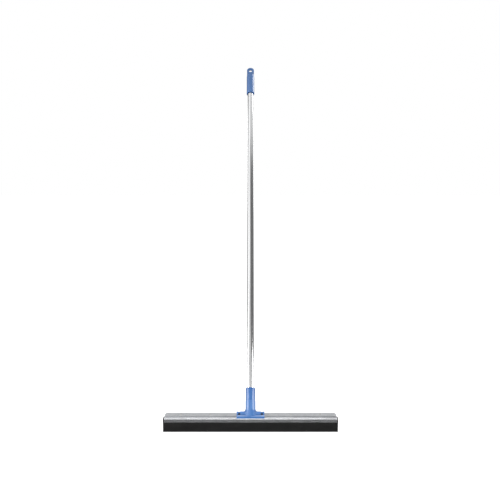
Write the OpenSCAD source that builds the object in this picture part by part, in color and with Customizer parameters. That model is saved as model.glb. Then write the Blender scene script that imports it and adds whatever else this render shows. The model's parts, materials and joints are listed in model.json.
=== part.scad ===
// Floor squeegee: two rubber lips in a bent sheet frame, a moulded bracket with a
// leaning socket, and a screw-in tube handle with a moulded grip and a swivelling hanging eye.
// Millimetres. The origin is the middle of the front lip's wiping edge, +X runs along the
// blade, +Y is the side the handle leans to, and +Z is up.

/* [Blade] */
// Length of the two rubber lips
blade_l = 550; // [350:10:900]
// Thickness of one lip
lip_t = 7; // [4:0.5:10]
// Height of the lips that shows below the frame
lip_drop = 32; // [20:1:50]
// Thickness of the strip that holds the two lips apart
core_t = 3; // [2:0.5:6]
// How far the strip stays above the frame's lower edge, measured down into the gap
core_drop = 12; // [4:1:16]
// Radius on the two lower edges of each lip
lip_edge_r = 0.8; // [0.3:0.1:1.5]

/* [Frame] */
// How much shorter the sheet frame is than the lips at each end
lip_overhang = 3.5; // [0:0.5:10]
// Sheet thickness
sheet_t = 1.5; // [1:0.1:2]
// Height of the two legs that grip the lips
leg_h = 13; // [10:0.5:20]
// Inside radius of the sheet's bends
bend_r = 1; // [0.6:0.1:1.4]
// Height of the leaning flange, along its slope
flange_h = 10.8; // [9:0.2:14]
// Corner radius at the two ends of the flange
flange_corner_r = 8; // [2:0.5:9]
// Distance between the rivets that join the two sheets
rivet_pitch = 92; // [60:1:110]
// Number of rivets on each side of the bracket
rivets_per_side = 2; // [1:1:2]
// Shank radius of a rivet
rivet_r = 1.6; // [1.2:0.1:2]

/* [Bracket] */
// Lean of the handle from the vertical, in degrees
lean = 35; // [20:1:45]
// Width of the bracket along the blade
bracket_w = 88; // [76:1:110]
// Height of the bracket's foot above the frame
foot_h = 7; // [5:0.5:10]
// Thickness of the bracket's wall in front of the flange
front_wall = 5; // [4:0.5:7]
// Thickness of the bracket's wall behind the flange
rear_wall = 4; // [3:0.5:6]
// Height of the rear wall's foot up the flange
rear_wall_up = 4; // [3:0.25:5]
// Thickness of the bracket over the flange's top edge
cap_t = 3; // [2.5:0.5:8]
// Corner radius of the bracket's ears
ear_r = 4; // [1:0.5:6]
// Distance between the two clamping bolts
bolt_span = 72; // [60:1:90]
// Radius of a bolt's shank
bolt_r = 2; // [1.75:0.25:2.75]
// Width of the notch in the ear's top edge above each bolt
notch_w = 7; // [4:0.5:10]
// Depth of that notch, down the front wall
notch_d = 3; // [1.5:0.25:4]
// Height of the bolts up the flange
bolt_up = 5.5; // [5:0.25:6.5]
// Outside radius of the handle socket
socket_r = 15.75; // [15:0.25:18]
// Length of the socket above the bracket's ears
socket_l = 35; // [28:1:60]
// Outside radius of the flare where the socket meets the foot
flare_r = 20; // [19:0.5:23]
// Height at which the flare ends, above the ears
flare_rise = 4; // [2:0.5:8]
// Height of the gusset ribs beside the socket
gusset_h = 9; // [5:1:16]
// Thickness of a gusset rib
gusset_t = 3; // [2:0.5:5]
// How far a gusset rib reaches along the ear
gusset_w = 6; // [4:0.5:9]
// How far the gusset ribs stay in front of the rear wall's back
gusset_back = 1; // [0.5:0.25:2]

/* [Handle] */
// Outside radius of the tube
tube_r = 12; // [11:0.25:12.5]
// Wall of the tube
tube_wall = 1.2; // [0.8:0.1:2]
// Length of the tube
tube_l = 1395; // [800:5:1600]
// Outside radius of the ferrule that closes the tube's lower end
ferrule_r = 15; // [14.25:0.25:15.5]
// Length of the ferrule that shows above the socket
ferrule_l = 40; // [30:1:60]
// Depth of the tube in the ferrule
tube_seat = 36; // [20:1:38]
// Outside radius of the ferrule's screw thread
thread_r = 11; // [10:0.25:12]
// Depth of the thread's groove
thread_depth = 0.9; // [0.5:0.1:1.2]
// Distance from one turn of the thread to the next
thread_pitch = 4; // [3:0.5:5]
// Length of the threaded spigot
spigot_l = 32; // [20:1:34]
// Radius of the pin that crosses the ferrule and the tube
pin_r = 2; // [1.5:0.25:2.5]
// Rounding of the rims of the ferrule and of the eye's collar
rim_r = 0.8; // [0.3:0.1:1.5]

/* [Grip and eye] */
// Outside radius of the grip
grip_r = 16.5; // [15.5:0.25:18]
// Length of the grip
grip_l = 100; // [80:1:160]
// Length of the grip's closed end
grip_cap = 10; // [8:0.5:16]
// Radius of the grip's open mouth round the tube
mouth_r = 14.2; // [13:0.1:14.5]
// Depth of that mouth
mouth_l = 10; // [2:1:30]
// Rounding of the grip's two rims
grip_edge_r = 2; // [0.5:0.25:2.5]
// Height of the hanging eye above the grip
eye_h = 51; // [46:1:70]
// Radius of the eye's round top and of its collar
eye_r = 15.7; // [13:0.1:16]
// Thickness of the eye's flat tongue
eye_t = 8.5; // [6:0.5:12]
// Radius of the hanging hole
eye_hole_r = 8; // [5:0.25:9]
// Distance from the eye's top down to the middle of the hole
eye_hole_drop = 16.5; // [16:0.5:20]
// Height of the collar at the bottom of the eye
collar_h = 7; // [3:0.5:10]
// How far the collar stands out from the eye's shank
collar_step = 0.4; // [0.2:0.1:1]
// Radius of the scoops between the collar and the tongue
scoop_r = 11; // [6:0.5:12]
// Radius of the stem that the eye turns on
stem_r = 6; // [4:0.25:7]

/* [Clearances] */
// Gap all round between a pushed-in piece and its seat
seat_gap = 0.05; // [0.02:0.01:0.1]
// Gap all round the screw thread, the sheets in the bracket and the bolts
fit_gap = 0.3; // [0.2:0.05:0.5]
// Gap between the eye's stem and the grip
swivel_gap = 0.06; // [0.02:0.01:0.1]
// Gap between faces that turn or part against each other
face_gap = 0.1; // [0.05:0.05:0.3]

/* [Hidden] */

// The blade stack, front to back
front_y = -lip_t / 2 - sheet_t;
core_y = lip_t / 2;
rear_lip_y = core_y + core_t;
rear_y = rear_lip_y + lip_t + sheet_t;
// Heights of the frame's lower edge, of the lips' top and of the web's upper face
frame_z = lip_drop;
web_z = lip_drop + leg_h;
lip_top_z = web_z - sheet_t;
frame_l = blade_l - 2 * lip_overhang;
// The flange rises from this line; two sheets make up its thickness
knee_y = rear_y - 2 * sheet_t * cos(lean);
pair_t = 2 * sheet_t;

// Heights along the handle's slope, from the knee
ear_top = flange_h + fit_gap + cap_t;
socket_top = ear_top + socket_l;
ferrule_base = socket_top + face_gap;
ferrule_top = ferrule_base + ferrule_l;
tube_base = ferrule_top - tube_seat;
tube_top = tube_base + tube_l;
grip_top = tube_top + grip_cap;
grip_base = grip_top - grip_l;
eye_base = grip_top + face_gap;
// The handle's axis stands this far behind the flange's front face
axis_back = pair_t + fit_gap;
flare_top = ear_top + flare_rise;
// How much the flare widens below the knee, over its own radius
flare_spread = 3;
back_y = pair_t + fit_gap + rear_wall;
spigot_base = ferrule_base - spigot_l;
bore_r = thread_r + fit_gap;
bore_base = spigot_base - fit_gap;
// The thread's radius at its root, and half its width at the root and at the crest
root_r = thread_r - thread_depth;
root_half = 0.3 * thread_pitch;
crest_half = 0.1 * thread_pitch;
thread_turns = floor(spigot_l / thread_pitch) - 1;

// Fasteners
bolt_head_r = 1.7 * bolt_r;
bolt_head_h = 1.1 * bolt_r;
bolt_sink = 1.5;
bolt_key_r = 0.6 * bolt_head_r;
bolt_key_d = 0.55 * bolt_head_h;
washer_r = 2.1 * bolt_r;
washer_t = 1;
nut_r = 1.85 * bolt_r;
nut_h = 1.6 * bolt_r;
bolt_tail = 1;
rivet_head_r = 1.9 * rivet_r;
rivet_head_h = 0.9;

// The eye's retaining washer and screw
eye_wall = grip_cap - 2;
stem_base = grip_top - eye_wall - 2 * face_gap;
eye_washer_t = 1.5;
eye_washer_room = 1.3;
eye_washer_r = tube_r - tube_wall - eye_washer_room;
eye_screw_r = 2;
eye_screw_l = 9;
eye_screw_head_r = 4;
eye_screw_head_h = 2.4;
eye_screw_slot = 1;
eye_screw_short = 1;
eye_washer_base = stem_base - eye_washer_t;

// Facets of the round pieces
round_fn = 96;
small_fn = 48;
arc_steps = 6;
// How far a cut runs past a face, and the size of a cut that runs right through
past = 1;
reach = 200;

// Points of an arc about c, radius r, from angle a0 to angle a1
function arc(c, r, a0, a1) =
    [for (i = [0:arc_steps]) c + r * [cos(a0 + (a1 - a0) * i / arc_steps),
                                      sin(a0 + (a1 - a0) * i / arc_steps)]];

// The slope's frame: +Z up the handle and +Y out of the flange's back, from the knee line
module slope() {
    translate([0, knee_y, web_z]) rotate([-lean, 0, 0]) children();
}

// The handle's own axis in the slope's frame
module on_axis(up) {
    slope() translate([0, axis_back, up]) children();
}

// An outline in the Y-Z plane drawn out along X, centred
module along_blade(l) {
    rotate([90, 0, 90]) linear_extrude(l, center = true) children();
}

// A bolt axis through the flange, pointing out of its back
module at_bolts() {
    for (side = [-1, 1])
        slope() translate([side * bolt_span / 2, 0, bolt_up]) rotate([-90, 0, 0]) children();
}

// The rivet axes, spaced out on both sides of the bracket
module at_rivets() {
    for (side = [-1, 1], i = [1:rivets_per_side])
        slope() translate([side * (bolt_span / 2 + i * rivet_pitch), 0, bolt_up])
            rotate([-90, 0, 0]) children();
}

// A ring of revolution: outside radius, inside radius and height
module ring(ro, ri, h) {
    difference() {
        cylinder(r = ro, h = h, $fn = round_fn);
        translate([0, 0, -past]) cylinder(r = ri, h = h + 2 * past, $fn = round_fn);
    }
}

// The outline that rounds the flange's two upper corners, as a block along its normal
module flange_trim() {
    slope() translate([0, reach / 2, 0]) rotate([90, 0, 0]) linear_extrude(reach) {
        translate([-frame_l / 2, -reach]) square([frame_l, reach + flange_h - flange_corner_r]);
        translate([-frame_l / 2 + flange_corner_r, 0])
            square([frame_l - 2 * flange_corner_r, flange_h]);
        for (side = [-1, 1])
            translate([side * (frame_l / 2 - flange_corner_r), flange_h - flange_corner_r])
                circle(r = flange_corner_r, $fn = round_fn);
    }
}

// Holes for the bolts and the rivets through both sheets
module sheet_holes() {
    at_bolts() translate([0, 0, -past])
        cylinder(r = bolt_r + fit_gap, h = pair_t + 2 * past, $fn = small_fn);
    at_rivets() translate([0, 0, -past])
        cylinder(r = rivet_r, h = pair_t + 2 * past, $fn = small_fn);
}

// Front leg, web and the front sheet of the flange, bent from one strip
module front_channel() {
    up = [sin(lean), cos(lean)];
    out = [cos(lean), -sin(lean)];
    ro = bend_r + sheet_t;
    knee = [knee_y, web_z];
    // Centre of the bend between the web and the flange
    turn = knee + bend_r * [-tan((90 - lean) / 2), 1];
    color("silver") difference() {
        intersection() {
            along_blade(frame_l) polygon(concat(
                [[front_y, frame_z]],
                arc([front_y + ro, web_z - ro], ro, 180, 90),
                arc(turn, bend_r, -90, -lean),
                [knee + flange_h * up, knee + flange_h * up + sheet_t * out],
                arc(turn, ro, -lean, -90),
                arc([front_y + ro, web_z - ro], bend_r, 90, 180),
                [[front_y + sheet_t, frame_z]]
            ));
            flange_trim();
        }
        sheet_holes();
    }
}

// Rear leg and the rear sheet of the flange
module rear_plate() {
    up = [sin(lean), cos(lean)];
    out = [cos(lean), -sin(lean)];
    ro = bend_r + sheet_t;
    knee = [knee_y, web_z];
    // Centre of the bend between the leg and the flange, behind the leg
    low = knee + pair_t * out;
    bend_up = (rear_y + bend_r - low.x - bend_r * cos(lean)) / sin(lean);
    turn = low + bend_up * up + bend_r * out;
    color("silver") difference() {
        intersection() {
            along_blade(frame_l) polygon(concat(
                [[rear_y - sheet_t, frame_z]],
                arc(turn, ro, 180, 180 - lean),
                [knee + flange_h * up + sheet_t * out, knee + flange_h * up + pair_t * out],
                arc(turn, bend_r, 180 - lean, 180),
                [[rear_y, frame_z]]
            ));
            flange_trim();
        }
        sheet_holes();
    }
}

// Flat-headed rivets through the two sheets
module frame_rivets() {
    color("gainsboro") at_rivets() {
        cylinder(r = rivet_r, h = pair_t, $fn = small_fn);
        translate([0, 0, -rivet_head_h]) cylinder(r = rivet_head_r, h = rivet_head_h, $fn = small_fn);
        translate([0, 0, pair_t]) cylinder(r = rivet_head_r, h = rivet_head_h, $fn = small_fn);
    }
}

// One lip as a strip with two rounded wiping edges, its front face at y
module lip(y) {
    along_blade(blade_l) polygon(concat(
        [[y, lip_top_z]],
        arc([y + lip_edge_r, lip_edge_r], lip_edge_r, 180, 270),
        arc([y + lip_t - lip_edge_r, lip_edge_r], lip_edge_r, 270, 360),
        [[y + lip_t, lip_top_z]]
    ));
}

module blade_front() {
    color("#262628") intersection() {
        lip(-lip_t / 2);
        under_bend();
    }
}

module blade_rear() {
    color("#262628") lip(rear_lip_y);
}

// Space for the front lip's top corner inside the front bend
module under_bend() {
    along_blade(blade_l + 2 * past) polygon(concat(
        [[front_y + sheet_t, -past]],
        arc([front_y + sheet_t + bend_r, lip_top_z - bend_r], bend_r, 180, 90),
        [[rear_y, lip_top_z], [rear_y, -past]]
    ));
}

// Strip between the lips
module blade_core() {
    color("#1c1c1e") translate([-blade_l / 2, core_y, frame_z - core_drop])
        cube([blade_l, core_t, lip_top_z - frame_z + core_drop]);
}

// A point in the Y-Z plane at a distance behind the flange's front face and up its slope
function sloped(back, up) = [knee_y + back * cos(lean) + up * sin(lean),
                             web_z - back * sin(lean) + up * cos(lean)];

// The bracket's foot, front wall, cap and rear wall as one bar along the blade
module ear_bar() {
    wall_foot = (foot_h - front_wall * sin(lean)) / cos(lean);
    along_blade(bracket_w) polygon([
        [front_y, web_z], [front_y, web_z + foot_h], sloped(-front_wall, wall_foot),
        sloped(-front_wall, ear_top), sloped(back_y, ear_top), sloped(back_y, rear_wall_up),
        sloped(pair_t / 2, rear_wall_up), [knee_y, web_z]
    ]);
}

// The outline that rounds the ears' two upper corners, as a block along the flange's normal
module ear_trim() {
    slope() translate([0, reach / 2, 0]) rotate([90, 0, 0]) linear_extrude(reach) {
        translate([-bracket_w / 2 - past, -reach]) square([bracket_w + 2 * past, reach]);
        translate([-bracket_w / 2, -past]) square([bracket_w, past + ear_top - ear_r]);
        translate([-bracket_w / 2 + ear_r, 0]) square([bracket_w - 2 * ear_r, ear_top + past]);
        for (side = [-1, 1])
            translate([side * (bracket_w / 2 - ear_r), ear_top - ear_r]) circle(r = ear_r, $fn = small_fn);
    }
}

// Where the socket stops: below the web, and below the foot of the rear wall
module below_socket() {
    translate([-reach, -reach, web_z - reach]) cube([2 * reach, 2 * reach, reach]);
    slope() translate([-reach, pair_t / 2, rear_wall_up - reach]) cube([2 * reach, reach, reach]);
}

// The socket's outside: a tapering flare that runs into a straight tube
module socket_outside() {
    on_axis(0) rotate_extrude($fn = round_fn) polygon([
        [0, -flare_r], [flare_r + flare_spread, -flare_r], [flare_r, 0], [socket_r, flare_top],
        [socket_r, socket_top], [0, socket_top]
    ]);
}

// Triangular ribs that brace the socket against the ears
module gussets() {
    for (side = [-1, 1])
        slope() translate([0, back_y - gusset_back, 0]) rotate([90, 0, 0]) linear_extrude(gusset_t)
            polygon([
                [0, ear_top - past], [side * (socket_r + gusset_w), ear_top - past],
                [side * (socket_r - past / 2), ear_top + gusset_h], [0, ear_top + gusset_h]
            ]);
}

// Moulded bracket: foot, ears that straddle the flange, gussets and handle socket
module bracket() {
    color("#3c6fb6") difference() {
        union() {
            intersection() {
                ear_bar();
                ear_trim();
            }
            difference() {
                socket_outside();
                below_socket();
                translate([-reach, front_y - reach, 0]) cube([2 * reach, reach, reach]);
            }
            gussets();
        }
        // Slot for the flange
        slope() translate([-bracket_w / 2 - past, -fit_gap, -reach])
            cube([bracket_w + 2 * past, pair_t + 2 * fit_gap, reach + flange_h + fit_gap]);
        // Notches in the front wall's top edge
        for (side = [-1, 1]) slope()
            translate([side * bolt_span / 2 - notch_w / 2, -reach, ear_top - notch_d])
                cube([notch_w, reach + pair_t / 2, reach]);
        // Room for the bend between the web and the flange
        along_blade(bracket_w + 2 * past) translate([knee_y - bend_r, web_z - past])
            square([2 * bend_r, bend_r + past]);
        // Threaded bore, drawn at its crest radius
        on_axis(bore_base) cylinder(r = bore_r, h = socket_top - bore_base + past, $fn = round_fn);
        at_bolts() {
            translate([0, 0, -reach / 2]) cylinder(r = bolt_r + fit_gap, h = reach, $fn = small_fn);
            // Sinks for the bolt heads and the nuts' washers
            translate([0, 0, -reach - front_wall + bolt_sink])
                cylinder(r = bolt_head_r + fit_gap, h = reach, $fn = small_fn);
        }
    }
}

// Socket-head bolts through the bracket and the flange
module bracket_bolts() {
    seat = -front_wall + bolt_sink;
    color("#30323a") at_bolts() difference() {
        union() {
            translate([0, 0, seat - bolt_head_h])
                cylinder(r = bolt_head_r, h = bolt_head_h, $fn = small_fn);
            translate([0, 0, seat])
                cylinder(r = bolt_r, h = back_y + washer_t + nut_h + bolt_tail - seat, $fn = small_fn);
        }
        translate([0, 0, seat - bolt_head_h - past])
            cylinder(r = bolt_key_r, h = bolt_key_d + past, $fn = 6);
    }
}

// Plain washers under the nuts
module bolt_washers() {
    color("silver") at_bolts() translate([0, 0, back_y]) ring(washer_r, bolt_r + fit_gap, washer_t);
}

// Hexagon nuts behind the bracket
module bracket_nuts() {
    color("silver") at_bolts() translate([0, 0, back_y + washer_t]) difference() {
        cylinder(r = nut_r, h = nut_h, $fn = 6);
        translate([0, 0, -past]) cylinder(r = bolt_r, h = nut_h + 2 * past, $fn = small_fn);
    }
}

// Drawn tube with a cross hole for the ferrule's pin
module handle_tube() {
    color("gainsboro") difference() {
        on_axis(tube_base) ring(tube_r, tube_r - tube_wall, tube_l);
        pin_hole();
    }
}

// The pin's way through the ferrule and the tube, from side to side
module pin_hole() {
    on_axis(tube_base + tube_seat / 2) rotate([0, 90, 0])
        cylinder(r = pin_r, h = reach, center = true, $fn = small_fn);
}

// Moulded ferrule: sleeve for the tube above a threaded spigot
module ferrule() {
    color("#2f5fae") difference() {
        union() {
            on_axis(ferrule_base) rotate_extrude($fn = round_fn) polygon(concat(
                [[0, 0], [ferrule_r, 0]],
                arc([ferrule_r - rim_r, ferrule_l - rim_r], rim_r, 0, 90),
                [[0, ferrule_l]]
            ));
            // Thread drawn as rings at its pitch
            on_axis(spigot_base) rotate_extrude($fn = round_fn) polygon(concat(
                [[0, spigot_l + past], [0, 0], [root_r, 0]],
                [for (i = [0:thread_turns - 1], p = [
                    [root_r, -root_half], [thread_r, -crest_half],
                    [thread_r, crest_half], [root_r, root_half]
                ]) p + [0, (i + 0.5) * thread_pitch]],
                [[root_r, spigot_l + past]]
            ));
        }
        on_axis(tube_base - seat_gap)
            cylinder(r = tube_r + seat_gap, h = tube_seat + past, $fn = round_fn);
        pin_hole();
    }
}

// Pin that locks the tube in the ferrule, trimmed to the ferrule's outside
module ferrule_pin() {
    color("silver") intersection() {
        pin_hole();
        on_axis(ferrule_base) cylinder(r = ferrule_r, h = ferrule_l, $fn = round_fn);
    }
}

// Moulded grip: a sleeve with a closed end, bored for the eye's stem
module grip() {
    seat = grip_l - grip_cap + seat_gap;
    washer_room_h = grip_cap - eye_wall - seat_gap;
    color("#3c6fb6") on_axis(grip_base) difference() {
        rotate_extrude($fn = round_fn) polygon(concat(
            [[0, 0]],
            arc([grip_r - grip_edge_r, grip_edge_r], grip_edge_r, -90, 0),
            arc([grip_r - grip_edge_r, grip_l - grip_edge_r], grip_edge_r, 0, 90),
            [[0, grip_l]]
        ));
        translate([0, 0, -past]) cylinder(r = tube_r + seat_gap, h = seat + past, $fn = round_fn);
        translate([0, 0, seat - past])
            cylinder(r = eye_washer_r + 2 * fit_gap, h = washer_room_h + past, $fn = round_fn);
        cylinder(r = stem_r + swivel_gap, h = grip_l + past, $fn = round_fn);
        translate([0, 0, -past]) cylinder(r = mouth_r, h = mouth_l + past, $fn = round_fn);
    }
}

// Hanging eye: a collar and a round shank scooped down to a flat tongue with a hole
module hanging_eye() {
    color("#3c6fb6") on_axis(eye_base) difference() {
        union() {
            rotate_extrude($fn = round_fn) polygon(concat(
                [[0, 0]],
                arc([eye_r - rim_r, rim_r], rim_r, -90, 0),
                arc([eye_r - rim_r, collar_h - rim_r], rim_r, 0, 90),
                [[0, collar_h]]
            ));
            intersection() {
                cylinder(r = eye_r - collar_step, h = eye_h, $fn = round_fn);
                rotate([90, 0, 0]) linear_extrude(3 * eye_r, center = true) {
                    translate([-eye_r, 0]) square([2 * eye_r, eye_h - eye_r]);
                    translate([0, eye_h - eye_r]) circle(r = eye_r, $fn = round_fn);
                }
            }
            translate([0, 0, stem_base - eye_base])
                cylinder(r = stem_r, h = eye_base - stem_base + past, $fn = round_fn);
        }
        for (side = [-1, 1]) translate([0, side * (eye_t / 2 + scoop_r), collar_h + scoop_r]) {
            rotate([0, 90, 0]) cylinder(r = scoop_r, h = 3 * eye_r, center = true, $fn = round_fn);
            translate([0, 0, eye_h / 2]) cube([3 * eye_r, 2 * scoop_r, eye_h], center = true);
        }
        translate([0, 0, eye_h - eye_hole_drop]) rotate([90, 0, 0])
            cylinder(r = eye_hole_r, h = 3 * eye_r, center = true, $fn = round_fn);
        translate([0, 0, stem_base - eye_base - past])
            cylinder(r = eye_screw_r, h = eye_screw_l + past, $fn = small_fn);
    }
}

// Washer that keeps the stem in the grip
module eye_washer() {
    color("silver") on_axis(eye_washer_base) ring(eye_washer_r, eye_screw_r + fit_gap, eye_washer_t);
}

// Slotted screw up into the stem
module eye_screw() {
    color("silver") on_axis(eye_washer_base) difference() {
        union() {
            translate([0, 0, -eye_screw_head_h])
                cylinder(r = eye_screw_head_r, h = eye_screw_head_h, $fn = small_fn);
            cylinder(r = eye_screw_r, h = eye_washer_t + eye_screw_l - eye_screw_short, $fn = small_fn);
        }
        translate([0, 0, -eye_screw_head_h])
            cube([3 * eye_screw_head_r, eye_screw_slot, 2 * eye_screw_slot], center = true);
    }
}

front_channel();
rear_plate();
frame_rivets();
blade_front();
blade_rear();
blade_core();
bracket();
bracket_bolts();
bolt_washers();
bracket_nuts();
handle_tube();
ferrule();
ferrule_pin();
grip();
hanging_eye();
eye_washer();
eye_screw();
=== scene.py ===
import json
import math

import bmesh
import bpy
from mathutils import Matrix, Vector, noise

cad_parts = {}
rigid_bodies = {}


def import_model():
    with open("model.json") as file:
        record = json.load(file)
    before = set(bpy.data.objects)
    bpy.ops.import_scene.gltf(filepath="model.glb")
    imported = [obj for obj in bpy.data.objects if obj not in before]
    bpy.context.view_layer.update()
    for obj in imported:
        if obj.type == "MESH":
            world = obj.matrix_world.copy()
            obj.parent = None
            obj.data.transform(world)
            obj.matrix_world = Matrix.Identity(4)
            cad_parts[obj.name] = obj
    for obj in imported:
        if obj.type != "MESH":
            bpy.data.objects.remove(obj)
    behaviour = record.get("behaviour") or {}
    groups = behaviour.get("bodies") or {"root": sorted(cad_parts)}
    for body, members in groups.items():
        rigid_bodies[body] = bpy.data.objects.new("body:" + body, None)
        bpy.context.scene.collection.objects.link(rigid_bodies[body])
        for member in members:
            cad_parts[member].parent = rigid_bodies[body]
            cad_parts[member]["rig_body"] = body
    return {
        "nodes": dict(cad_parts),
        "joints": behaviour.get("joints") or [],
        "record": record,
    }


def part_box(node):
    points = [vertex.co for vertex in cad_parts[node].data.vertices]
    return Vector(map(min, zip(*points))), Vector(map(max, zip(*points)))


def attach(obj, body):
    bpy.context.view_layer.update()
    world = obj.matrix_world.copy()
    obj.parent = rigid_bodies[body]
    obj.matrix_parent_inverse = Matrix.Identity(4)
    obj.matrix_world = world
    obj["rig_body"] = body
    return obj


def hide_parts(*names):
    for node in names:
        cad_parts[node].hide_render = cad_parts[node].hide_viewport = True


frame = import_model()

MM = 0.001
# Points closer than this are one point of a turned surface, and of a copied CAD mesh
WELD = 0.001 * MM
scene = bpy.context.scene
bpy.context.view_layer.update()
nodes = frame["nodes"]
joints = {j["name"]: j for j in frame["joints"]}

# The handle's axis, from the joint that the eye turns on
SWIVEL = joints["eye_swivel"]
UP = Vector(SWIVEL["axis"]).normalized()
ON_AXIS = Vector(SWIVEL["pos_m"])
LEAN = math.atan2(UP.y, UP.z)
BACK = Vector((0, UP.z, -UP.y))


# ---------------------------------------------------------------- camera
CAMERA_AT = Vector((0, -1.6876, 0.7812))
CAMERA_PITCH = math.radians(-6.926)
LENS_MM = 40.43
SHIFT_X = -0.001


def make_camera():
    data = bpy.data.cameras.new("camera")
    data.lens = LENS_MM
    data.sensor_width = 36.0
    data.shift_x = SHIFT_X
    camera = bpy.data.objects.new("camera", data)
    scene.collection.objects.link(camera)
    camera.location = CAMERA_AT
    camera.rotation_euler = (math.radians(90) + CAMERA_PITCH, 0, 0)
    scene.camera = camera


# ---------------------------------------------------------------- node helpers
class Shader:
    """A material whose nodes are added one call at a time."""

    def __init__(self, name):
        self.mat = bpy.data.materials.new(name)
        self.mat.use_nodes = True
        self.tree = self.mat.node_tree
        self.tree.nodes.clear()
        self.out = self.tree.nodes.new("ShaderNodeOutputMaterial")
        self.bsdf = self.tree.nodes.new("ShaderNodeBsdfPrincipled")
        self.link(self.bsdf, "BSDF", self.out, "Surface")
        self.coords = self.tree.nodes.new("ShaderNodeTexCoord")

    def link(self, a, a_out, b, b_in):
        self.tree.links.new(a.outputs[a_out], b.inputs[b_in])

    def value(self, name, value):
        self.bsdf.inputs[name].default_value = value

    def mapped(self, scale=(1, 1, 1), lean=0.0):
        """Object coordinates in metres, turned so that +Z runs along the handle if lean is given."""
        node = self.tree.nodes.new("ShaderNodeMapping")
        node.inputs["Rotation"].default_value = (lean, 0, 0)
        self.link(self.coords, "Object", node, "Vector")
        stretch = self.tree.nodes.new("ShaderNodeMapping")
        stretch.inputs["Scale"].default_value = scale
        self.link(node, "Vector", stretch, "Vector")
        return stretch

    def noise(self, vector, scale, detail=3.0, rough=0.55):
        node = self.tree.nodes.new("ShaderNodeTexNoise")
        node.inputs["Scale"].default_value = scale
        node.inputs["Detail"].default_value = detail
        node.inputs["Roughness"].default_value = rough
        self.link(vector, "Vector", node, "Vector")
        return node

    def ramp(self, source, stops):
        node = self.tree.nodes.new("ShaderNodeValToRGB")
        ramp = node.color_ramp
        while len(ramp.elements) < len(stops):
            ramp.elements.new(0.5)
        for element, (at, colour) in zip(ramp.elements, stops):
            element.position = at
            element.color = (*colour, 1)
        self.link(source, "Fac", node, "Fac")
        return node

    def span(self, source, low, high):
        """Maps a 0.3 to 0.7 noise onto low to high."""
        node = self.tree.nodes.new("ShaderNodeMapRange")
        node.inputs["From Min"].default_value = 0.3
        node.inputs["From Max"].default_value = 0.7
        node.inputs["To Min"].default_value = low
        node.inputs["To Max"].default_value = high
        self.link(source, "Fac", node, "Value")
        return node

    def bump(self, height, distance, strength, under=None):
        node = self.tree.nodes.new("ShaderNodeBump")
        node.inputs["Distance"].default_value = distance
        node.inputs["Strength"].default_value = strength
        self.link(height, "Fac", node, "Height")
        if under:
            self.link(under, "Normal", node, "Normal")
        return node


def grey(value):
    return (value, value, value)


# ---------------------------------------------------------------- materials
def plastic(name, dark, light, rough):
    """Moulded plastic: faint flow marks, a fine spark-eroded skin and soft scuffs."""
    s = Shader(name)
    flow = s.noise(s.mapped((1, 1, 0.35), LEAN), 55, 2)
    colour = s.ramp(flow, [(0.35, dark), (0.65, light)])
    s.link(colour, "Color", s.bsdf, "Base Color")
    scuff = s.noise(s.mapped(), 420, 4, 0.65)
    s.link(s.span(scuff, rough - 0.06, rough + 0.08), "Result", s.bsdf, "Roughness")
    skin = s.bump(s.noise(s.mapped(), 3200, 2), 0.00004, 0.5)
    s.link(s.bump(flow, 0.0004, 0.25, skin), "Normal", s.bsdf, "Normal")
    s.value("Specular IOR Level", 0.85)
    return s.mat


def rubber(name, dark, light):
    """Black strip rubber: fine cells, extrusion lines along the blade and a dusty bloom."""
    s = Shader(name)
    bloom = s.noise(s.mapped((0.6, 1, 1.6)), 38, 4, 0.6)
    colour = s.ramp(bloom, [(0.3, dark), (0.72, light)])
    s.link(colour, "Color", s.bsdf, "Base Color")
    s.link(s.span(bloom, 0.5, 0.66), "Result", s.bsdf, "Roughness")
    lines = s.bump(s.noise(s.mapped((0.02, 1, 1)), 900, 2), 0.00012, 0.4)
    cells = s.bump(s.noise(s.mapped(), 2600, 3), 0.00008, 0.5, lines)
    s.link(cells, "Normal", s.bsdf, "Normal")
    s.value("Specular IOR Level", 0.12)
    return s.mat


def sheet_metal(name, dark, light, rough):
    """Rolled sheet: grain along the blade, a cloudy zinc bloom and small scratches."""
    s = Shader(name)
    cloud = s.noise(s.mapped((0.5, 1, 1)), 60, 5, 0.6)
    colour = s.ramp(cloud, [(0.3, dark), (0.7, light)])
    s.link(colour, "Color", s.bsdf, "Base Color")
    grain = s.noise(s.mapped((0.012, 1, 1)), 2600, 3)
    s.link(s.span(grain, rough - 0.07, rough + 0.09), "Result", s.bsdf, "Roughness")
    scratch = s.bump(grain, 0.00003, 0.35)
    s.link(s.bump(cloud, 0.0004, 0.12, scratch), "Normal", s.bsdf, "Normal")
    s.value("Metallic", 1.0)
    return s.mat


def tube_metal(name):
    """Drawn aluminium tube: die lines along its length and faint handling marks."""
    s = Shader(name)
    along = s.mapped((1, 1, 0.006), LEAN)
    die = s.noise(along, 2400, 3)
    cloud = s.noise(s.mapped((1, 1, 0.12), LEAN), 45, 4, 0.6)
    colour = s.ramp(cloud, [(0.3, (0.76, 0.765, 0.775)), (0.7, (0.84, 0.845, 0.85))])
    s.link(colour, "Color", s.bsdf, "Base Color")
    s.link(s.span(die, 0.12, 0.20), "Result", s.bsdf, "Roughness")
    s.link(s.bump(die, 0.00002, 0.3), "Normal", s.bsdf, "Normal")
    s.value("Metallic", 1.0)
    return s.mat


def fastener_metal(name, dark, light, rough):
    """Plated or blackened steel with tool marks."""
    s = Shader(name)
    marks = s.noise(s.mapped(), 700, 4, 0.6)
    colour = s.ramp(marks, [(0.3, dark), (0.7, light)])
    s.link(colour, "Color", s.bsdf, "Base Color")
    s.link(s.span(marks, rough - 0.08, rough + 0.1), "Result", s.bsdf, "Roughness")
    s.link(s.bump(marks, 0.00005, 0.3), "Normal", s.bsdf, "Normal")
    s.value("Metallic", 1.0)
    return s.mat


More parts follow.
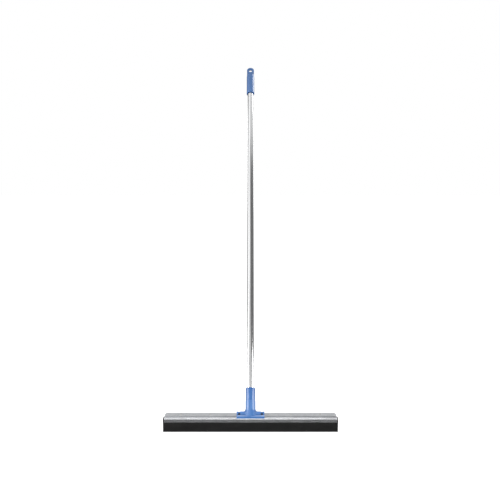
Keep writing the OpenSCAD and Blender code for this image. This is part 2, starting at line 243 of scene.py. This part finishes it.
MATERIALS = {
    "blue_moulding": plastic("blue_moulding", (0.046, 0.132, 0.335), (0.055, 0.151, 0.375), 0.20),
    "ferrule_moulding": plastic("ferrule_moulding", (0.023, 0.095, 0.285), (0.029, 0.110, 0.315), 0.19),
    "lip_rubber": rubber("lip_rubber", grey(0.005), grey(0.009)),
    "core_rubber": rubber("core_rubber", grey(0.004), grey(0.006)),
    "frame_metal": sheet_metal("frame_metal", (0.52, 0.53, 0.55), (0.62, 0.63, 0.65), 0.30),
    "tube_metal": tube_metal("tube_metal"),
    "zinc_fastener": fastener_metal("zinc_fastener", (0.48, 0.48, 0.47), (0.62, 0.62, 0.61), 0.3),
    "black_bolt": fastener_metal("black_bolt", grey(0.02), grey(0.035), 0.38),
}


# ---------------------------------------------------------------- mesh helpers
def along(point):
    """Distance of a point up the handle's axis from the swivel."""
    return (point - ON_AXIS).dot(UP)


def axis_span(node):
    """Lowest and highest distance of a node up the handle's axis."""
    ups = [along(v.co) for v in nodes[node].data.vertices]
    return min(ups), max(ups)


def axis_radius(node):
    """Largest distance of a node from the handle's axis."""
    vertices = nodes[node].data.vertices
    return max((v.co - ON_AXIS - along(v.co) * UP).length for v in vertices)


def finish_piece(obj, node, slot):
    """A new piece stands for a CAD node: same body, its slot's material."""
    obj.data.materials.clear()
    obj.data.materials.append(MATERIALS[slot])
    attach(obj, nodes[node]["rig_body"])
    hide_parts(node)
    return obj


def new_object(name, mesh):
    obj = bpy.data.objects.new(name, mesh)
    scene.collection.objects.link(obj)
    return obj


def apply_modifiers(obj):
    deps = bpy.context.evaluated_depsgraph_get()
    mesh = bpy.data.meshes.new_from_object(obj.evaluated_get(deps))
    obj.modifiers.clear()
    obj.data = mesh


def smooth_by_angle(obj, degrees):
    """Smooth faces, with edges sharper than the angle kept sharp."""
    mesh = obj.data
    mesh.polygons.foreach_set("use_smooth", [True] * len(mesh.polygons))
    mesh.set_sharp_from_angle(angle=math.radians(degrees))


def node_copy(node, name, dissolve=True):
    """A welded copy of a CAD node's mesh, with its flat faces merged if dissolve is set."""
    bm = bmesh.new()
    bm.from_mesh(nodes[node].data)
    bmesh.ops.remove_doubles(bm, verts=bm.verts, dist=WELD)
    if dissolve:
        flat = math.radians(0.5)
        bmesh.ops.dissolve_limit(bm, angle_limit=flat, verts=bm.verts, edges=bm.edges)
    mesh = bpy.data.meshes.new(name)
    bm.to_mesh(mesh)
    bm.free()
    return new_object(name, mesh)


def edge_broken(node, name, slot, width):
    """A CAD node's shape with its sharp edges rounded off by a small radius."""
    obj = node_copy(node, name)
    bevel = obj.modifiers.new("edge", "BEVEL")
    bevel.width = width
    bevel.segments = 2
    bevel.limit_method = "ANGLE"
    bevel.angle_limit = math.radians(35)
    apply_modifiers(obj)
    smooth_by_angle(obj, 40)
    flat = obj.modifiers.new("flat", "WEIGHTED_NORMAL")
    flat.keep_sharp = True
    apply_modifiers(obj)
    return finish_piece(obj, node, slot)


def moulded(node, name, slot, voxel, passes):
    """A CAD node's shape as a moulding: every edge and inner corner gets a small radius."""
    obj = node_copy(node, name, dissolve=False)
    remesh = obj.modifiers.new("voxels", "REMESH")
    remesh.mode = "VOXEL"
    remesh.voxel_size = voxel
    soften = obj.modifiers.new("soften", "SMOOTH")
    soften.factor = 0.5
    soften.iterations = passes
    apply_modifiers(obj)
    smooth_by_angle(obj, 180)
    return finish_piece(obj, node, slot)


def turned(name, profiles):
    """A closed surface about the handle's axis, with an outline for each of its directions.

    An outline is a closed loop of (radius, distance up the axis).
    """
    bm = bmesh.new()
    side = Vector((1, 0, 0))
    rings = []
    segments = len(profiles)
    for i, profile in enumerate(profiles):
        a = 2 * math.pi * i / segments
        out = math.cos(a) * side + math.sin(a) * BACK
        rings.append([bm.verts.new(ON_AXIS + up * UP + r * out) for r, up in profile])
    count = len(profiles[0])
    for i in range(segments):
        a, b = rings[i], rings[(i + 1) % segments]
        for k in range(count):
            m = (k + 1) % count
            bm.faces.new((a[k], b[k], b[m], a[m]))
    bmesh.ops.remove_doubles(bm, verts=bm.verts, dist=WELD)
    bmesh.ops.recalc_face_normals(bm, faces=bm.faces)
    mesh = bpy.data.meshes.new(name)
    bm.to_mesh(mesh)
    bm.free()
    obj = new_object(name, mesh)
    smooth_by_angle(obj, 50)
    return obj


def corner(centre_r, centre_up, radius, start, end, steps=5):
    """Points of a rounded corner in an outline, angles in degrees from the outward radius."""
    points = []
    for i in range(steps + 1):
        a = math.radians(start + (end - start) * i / steps)
        points.append((centre_r + radius * math.cos(a), centre_up + radius * math.sin(a)))
    return points


# ---------------------------------------------------------------- pieces
# The gap round a seated tube, and past its end
SEAT_GAP = 0.05 * MM

# The lips' wiping edges, how many steps run along a lip, and how far its free edge wanders
LIP_EDGE_R = 0.8 * MM
LIP_STEPS = 180
LIP_SWAY = 0.10 * MM
LIP_WAVE = 0.08 * MM
LIP_BEVEL = 0.3 * MM

# The grip: rims, waist, the open mouth round the tube and the bore for the eye's stem
GRIP_RIM_R = 2.0 * MM
GRIP_WAIST = 0.25 * MM
GRIP_WAIST_STEPS = 12
MOUTH_R = 14.2 * MM
MOUTH_L = 10 * MM
MOUTH_FLOOR_R = 0.6 * MM
MOUTH_LIP_R = 0.4 * MM
BORE_CHAMFER = (0.5 * MM, 1.0 * MM)
STEM_BORE_R = 6.06 * MM
LEAD_IN = 1.0 * MM
TUBE_STOP_W = 1.0 * MM
TUBE_STOP_H = 1.9 * MM

# The ferrule: sleeve, its rims, and the helical thread on the spigot
SLEEVE_L = 40 * MM
SLEEVE_RIM_R = 0.8 * MM
SLEEVE_EDGE_R = 0.4 * MM
THREAD_R = 11 * MM
THREAD_DEPTH = 0.9 * MM
THREAD_PITCH = 4 * MM
# Half widths of the thread at its root and its crest, as shares of half a pitch
THREAD_ROOT = 0.72
THREAD_CREST = 0.28
THREAD_STEPS = 96


def make_lip(node, name):
    """A rubber lip: rounded wiping edges, and sides that wander by a tenth of a millimetre."""
    low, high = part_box(node)
    r = LIP_EDGE_R
    outline = [(low.y, high.z), (low.y, (low.z + high.z) / 2)]
    for a in range(180, 271, 18):
        t = math.radians(a)
        outline.append((low.y + r + r * math.cos(t), low.z + r + r * math.sin(t)))
    for a in range(270, 361, 18):
        t = math.radians(a)
        outline.append((high.y - r + r * math.cos(t), low.z + r + r * math.sin(t)))
    outline += [(high.y, (low.z + high.z) / 2), (high.y, high.z)]
    bm = bmesh.new()
    rows = []
    for i in range(LIP_STEPS + 1):
        x = low.x + (high.x - low.x) * i / LIP_STEPS
        sway = LIP_SWAY * noise.noise(Vector((x * 9, low.y * 50, 0.5)))
        wave = LIP_WAVE * noise.noise(Vector((x * 21, low.y * 50, 4.5)))
        row = []
        for y, z in outline:
            free = 1 - (z - low.z) / (high.z - low.z)
            row.append(bm.verts.new((x, y + sway * free, z + abs(wave) * free)))
        rows.append(row)
    count = len(outline)
    for a, b in zip(rows, rows[1:]):
        for k in range(count):
            m = (k + 1) % count
            bm.faces.new((a[k], a[m], b[m], b[k]))
    bm.faces.new(rows[0])
    bm.faces.new(list(reversed(rows[-1])))
    bmesh.ops.recalc_face_normals(bm, faces=bm.faces)
    mesh = bpy.data.meshes.new(name)
    bm.to_mesh(mesh)
    bm.free()
    obj = new_object(name, mesh)
    bevel = obj.modifiers.new("edge", "BEVEL")
    bevel.width = LIP_BEVEL
    bevel.segments = 2
    bevel.limit_method = "ANGLE"
    bevel.angle_limit = math.radians(60)
    apply_modifiers(obj)
    smooth_by_angle(obj, 40)
    return finish_piece(obj, node, "lip_rubber")


def make_grip():
    """The grip: an open mouth round the tube, a faint waist, rolled rims and the eye's bore."""
    low, high = axis_span("grip")
    r = axis_radius("grip")
    bore = axis_radius("handle_tube") + SEAT_GAP
    seat = axis_span("handle_tube")[1] + SEAT_GAP
    stop_r, stop_top = bore - TUBE_STOP_W, seat + TUBE_STOP_H
    rim = GRIP_RIM_R
    mouth_top = low + MOUTH_L
    wider, deeper = BORE_CHAMFER
    profile = [(bore, mouth_top + deeper), (bore + wider, mouth_top)]
    profile += corner(MOUTH_R - MOUTH_FLOOR_R, mouth_top - MOUTH_FLOOR_R, MOUTH_FLOOR_R, 90, 0, 3)
    profile += corner(MOUTH_R + MOUTH_LIP_R, low + MOUTH_LIP_R, MOUTH_LIP_R, 180, 270, 3)
    profile += corner(r - rim, low + rim, rim, 270, 360)
    for k in range(1, GRIP_WAIST_STEPS):
        t = k / GRIP_WAIST_STEPS
        waist = GRIP_WAIST * math.sin(math.pi * t) ** 2
        profile.append((r - waist, low + rim + (high - low - 2 * rim) * t))
    profile += corner(r - rim, high - rim, rim, 0, 90)
    profile += [(STEM_BORE_R + LEAD_IN, high), (STEM_BORE_R, high - LEAD_IN)]
    profile += [(STEM_BORE_R, stop_top), (stop_r, stop_top), (stop_r, seat), (bore, seat)]
    obj = turned("grip_sleeve", [profile] * 128)
    return finish_piece(obj, "grip", "blue_moulding")


def make_ferrule():
    """The ferrule: a sleeve with a rounded rim over a spigot with a helical thread."""
    low, high = axis_span("ferrule")
    r = axis_radius("ferrule")
    base = high - SLEEVE_L
    bore = axis_radius("handle_tube") + SEAT_GAP
    seat = axis_span("handle_tube")[0] - SEAT_GAP
    rim, edge = SLEEVE_RIM_R, SLEEVE_EDGE_R

    def spigot_radius(up, turn):
        """The thread's radius at a height, fading out at the spigot's tip and its shoulder."""
        wave = abs(((up - low) / THREAD_PITCH - turn) % 1 - 0.5) * 2
        crest = min(max((THREAD_ROOT - wave) / (THREAD_ROOT - THREAD_CREST), 0), 1)
        fade = min((up - low) / THREAD_PITCH, (base - up) / THREAD_PITCH, 1)
        return THREAD_R - THREAD_DEPTH + THREAD_DEPTH * crest * max(fade, 0)

    heights = [low + (base - low) * i / THREAD_STEPS for i in range(THREAD_STEPS + 1)]
    sleeve = corner(r - edge, base + edge, edge, 270, 360, 3)
    sleeve += corner(r - rim, high - rim, rim, 0, 90)
    sleeve += corner(bore + edge, high - edge, edge, 90, 180, 3)
    sleeve += [(bore, seat), (0, seat)]
    profiles = []
    for i in range(THREAD_STEPS):
        spigot = [(spigot_radius(up, i / THREAD_STEPS), up) for up in heights]
        profiles.append([(0, low)] + spigot + sleeve)
    obj = turned("ferrule_thread", profiles)
    return finish_piece(obj, "ferrule", "ferrule_moulding")


make_camera()
make_ferrule()
make_lip("blade_front", "lip_front")
make_lip("blade_rear", "lip_rear")
moulded("bracket", "bracket_moulding", "blue_moulding", 0.55 * MM, 2)
moulded("hanging_eye", "eye_moulding", "blue_moulding", 0.45 * MM, 3)
edge_broken("front_channel", "frame_front_sheet", "frame_metal", 0.3 * MM)
edge_broken("rear_plate", "frame_rear_sheet", "frame_metal", 0.3 * MM)
edge_broken("bracket_bolts", "clamp_bolts", "black_bolt", 0.25 * MM)
edge_broken("bracket_nuts", "clamp_nuts", "zinc_fastener", 0.3 * MM)
make_grip()

for name, obj in nodes.items():
    slot = next(s["material_slot"] for s in frame["record"]["subparts"] if s["node"] == name)
    obj.data.materials.clear()
    obj.data.materials.append(MATERIALS[slot])
    smooth_by_angle(obj, 40)


# ---------------------------------------------------------------- stage and light
def stage_plane(name, size, colour, glow):
    """A flat sheet of one pale or dark colour, which may glow."""
    mesh = bpy.data.meshes.new(name)
    w, h = size[0] / 2, size[1] / 2
    mesh.from_pydata([(-w, -h, 0), (w, -h, 0), (w, h, 0), (-w, h, 0)], [], [(0, 1, 2, 3)])
    obj = new_object(name, mesh)
    s = Shader(name)
    mottle = s.noise(s.mapped(), 3, 2)
    stops = [(0.3, colour), (0.7, tuple(c * 0.985 for c in colour))]
    s.link(s.ramp(mottle, stops), "Color", s.bsdf, "Base Color")
    s.value("Roughness", 0.9)
    s.value("Specular IOR Level", 0.0)
    s.value("Emission Color", (1, 1, 1, 1))
    s.value("Emission Strength", glow)
    mesh.materials.append(s.mat)
    return obj


def flag(name, centre, across, up, size, glow):
    """A dark card that only reflections see, as a studio flag held out of the picture."""
    card = stage_plane(name, size, (0.01, 0.01, 0.011), glow)
    across = Vector(across).normalized()
    normal = across.cross(Vector(up)).normalized()
    turn = Matrix((across, normal.cross(across), normal)).transposed()
    card.matrix_world = Matrix.Translation(centre) @ turn.to_4x4()
    card.visible_camera = False
    card.visible_diffuse = False
    card.visible_shadow = False


def softbox(name, at, towards, size, radiance):
    """A rectangular light; its brightness is what the object sees reflected."""
    data = bpy.data.lights.new(name, "AREA")
    data.shape = "RECTANGLE"
    data.size, data.size_y = size
    data.energy = radiance * math.pi * size[0] * size[1]
    light = bpy.data.objects.new(name, data)
    scene.collection.objects.link(light)
    light.location = at
    light.rotation_euler = (Vector(towards) - Vector(at)).to_track_quat("-Z", "Y").to_euler()
    light.visible_camera = False


def make_floor():
    """A pale floor that the camera sees near white, and that the object sees as mid grey."""
    floor = stage_plane("floor", (60, 60), grey(0.40), 0.0)
    floor.location.z = -0.5 * MM
    tree = floor.data.materials[0].node_tree
    out = next(n for n in tree.nodes if n.type == "OUTPUT_MATERIAL")
    lit = next(n for n in tree.nodes if n.type == "BSDF_PRINCIPLED")
    ray = tree.nodes.new("ShaderNodeLightPath")
    mix = tree.nodes.new("ShaderNodeMixShader")
    add = tree.nodes.new("ShaderNodeAddShader")
    paper = tree.nodes.new("ShaderNodeEmission")
    paper.inputs["Color"].default_value = (1, 1, 1, 1)
    paper.inputs["Strength"].default_value = 0.86
    tree.links.new(lit.outputs["BSDF"], add.inputs[0])
    tree.links.new(paper.outputs["Emission"], add.inputs[1])
    tree.links.new(ray.outputs["Is Camera Ray"], mix.inputs["Fac"])
    tree.links.new(lit.outputs["BSDF"], mix.inputs[1])
    tree.links.new(add.outputs["Shader"], mix.inputs[2])
    tree.links.new(mix.outputs["Shader"], out.inputs["Surface"])


def make_world(seen, felt):
    """A white surround for the camera, and a dimmer one for the object."""
    world = bpy.data.worlds.new("studio")
    scene.world = world
    world.use_nodes = True
    tree = world.node_tree
    tree.nodes.clear()
    out = tree.nodes.new("ShaderNodeOutputWorld")
    mix = tree.nodes.new("ShaderNodeMixShader")
    ray = tree.nodes.new("ShaderNodeLightPath")
    room = tree.nodes.new("ShaderNodeBackground")
    room.inputs["Strength"].default_value = felt
    paper = tree.nodes.new("ShaderNodeBackground")
    paper.inputs["Strength"].default_value = seen
    for node in (room, paper):
        node.inputs["Color"].default_value = (1, 1, 1, 1)
    tree.links.new(ray.outputs["Is Camera Ray"], mix.inputs["Fac"])
    tree.links.new(room.outputs["Background"], mix.inputs[1])
    tree.links.new(paper.outputs["Background"], mix.inputs[2])
    tree.links.new(mix.outputs["Shader"], out.inputs["Surface"])


make_world(1.0, 0.42)
make_floor()
# Name, place, what it faces, size and brightness, in metres
# Low boxes light the socket's sides, and taller ones reach up the tube
softbox("left_low", (-1.2, -0.25, 0.45), (0, 0.1, 0.15), (1.3, 0.86), 4.2)
softbox("right_low", (1.2, -0.25, 0.45), (0, 0.1, 0.15), (1.3, 0.86), 4.2)
softbox("left_high", (-1.15, 0.20, 1.55), (0, 0.20, 0.60), (1.7, 1.7), 0.80)
softbox("right_top", (1.1, 1.55, 2.15), (0, 0.80, 1.15), (1.0, 0.8), 0.8)
softbox("front_key", (0, -1.6, 2.0), (0, 0.0, 0.1), (1.8, 0.9), 0.28)
softbox("front_fill", (0, -2.6, 0.5), (0, 0.0, 0.1), (2.6, 1.2), 6.4)
softbox("overhead", (0, 0.9, 2.8), (0, 0.75, 1.1), (2.2, 1.6), 0.42)
softbox("back_glow", (0, 1.9, 0.93), (0, 0.0, 0.1), (1.1, 0.7), 2.8)
softbox("grip_strip", (0.40, 1.10, 1.52), (0, 0.85, 1.2), (0.22, 0.30), 4.5)
# Name, centre, the card's two directions, size and glow
# One card stands beside the tube, and the other lies in front of the lips
flag("right_flag", (0.72, 0.26, 1.20), (0.51, 0.71, -0.49), UP, (1.3, 1.2), 0.12)
flag("front_flag", (0, -0.62, 0.002), (1, 0, 0), (0, 1, 0), (1.8, 1.15), 0.0)

scene.view_settings.view_transform = "Standard"
